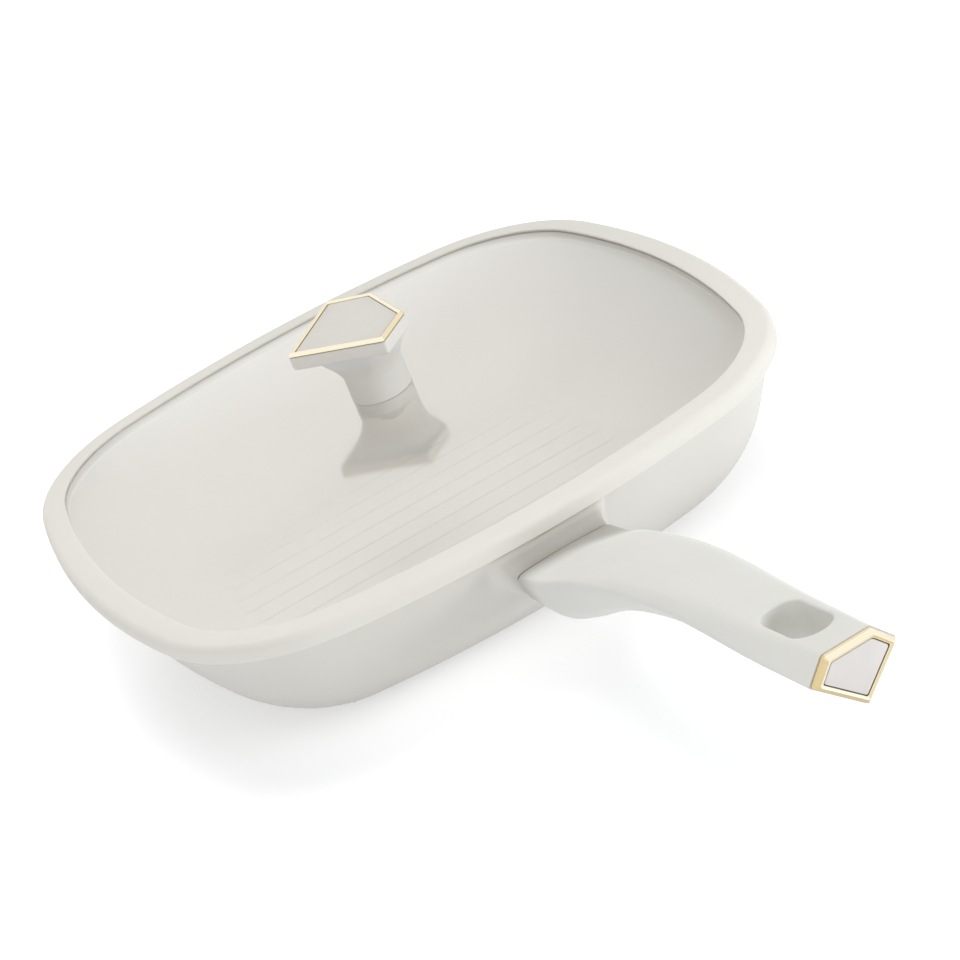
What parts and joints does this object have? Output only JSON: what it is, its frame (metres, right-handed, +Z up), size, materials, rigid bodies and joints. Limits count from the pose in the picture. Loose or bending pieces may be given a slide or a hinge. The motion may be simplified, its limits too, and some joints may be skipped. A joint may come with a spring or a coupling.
{
  "type": "grill pan",
  "caption": "Square grill pan with rounded corners, a ribbed floor, a domed glass lid in a soft rim with a five-sided knob, and a long rising handle with a hang slot.",
  "frame": {"origin": "middle of the pan's flat base, on its underside", "axes": "+X along the pan's longer side, the handle points along -Y, +Z up out of the pan"},
  "size_m": [0.29, 0.5112, 0.1092],
  "materials": {
    "ceramic_coat": "satin ceramic coating over cast aluminium, warm off-white",
    "base_steel": "brushed stainless steel with flush studs",
    "soft_touch": "soft-touch coating over moulded phenolic, warm off-white",
    "fixing_steel": "plain machined",
    "gold_trim": "polished pale gold plating",
    "inlay": "satin, bare",
    "rim_silicone": "matt moulded silicone, warm off-white",
    "glass": "clear tempered glass",
    "seat_silicone": "matt silicone, hidden",
    "insert_brass": "machined, hidden"
  },
  "bodies": {
    "pan": {"pan_body": "ceramic_coat", "induction_plate": "base_steel", "handle_body": "soft_touch", "handle_screw": "fixing_steel", "handle_lock_washer": "fixing_steel", "handle_end_trim": "gold_trim", "handle_end_badge": "inlay"},
    "lid": {"lid_rim": "rim_silicone", "glass_panel": "glass", "knob_body": "soft_touch", "knob_trim": "gold_trim", "knob_badge": "inlay", "knob_insert": "insert_brass", "knob_seat": "seat_silicone", "knob_gasket": "seat_silicone", "knob_washer": "fixing_steel", "knob_spring_washer": "fixing_steel", "knob_screw": "fixing_steel"}
  },
  "joints": [
    {"name": "lid_lift", "type": "slide", "parent": "pan", "child": "lid", "axis": [0, 0, 1], "range_m": [0, 0.12]}
  ]
}
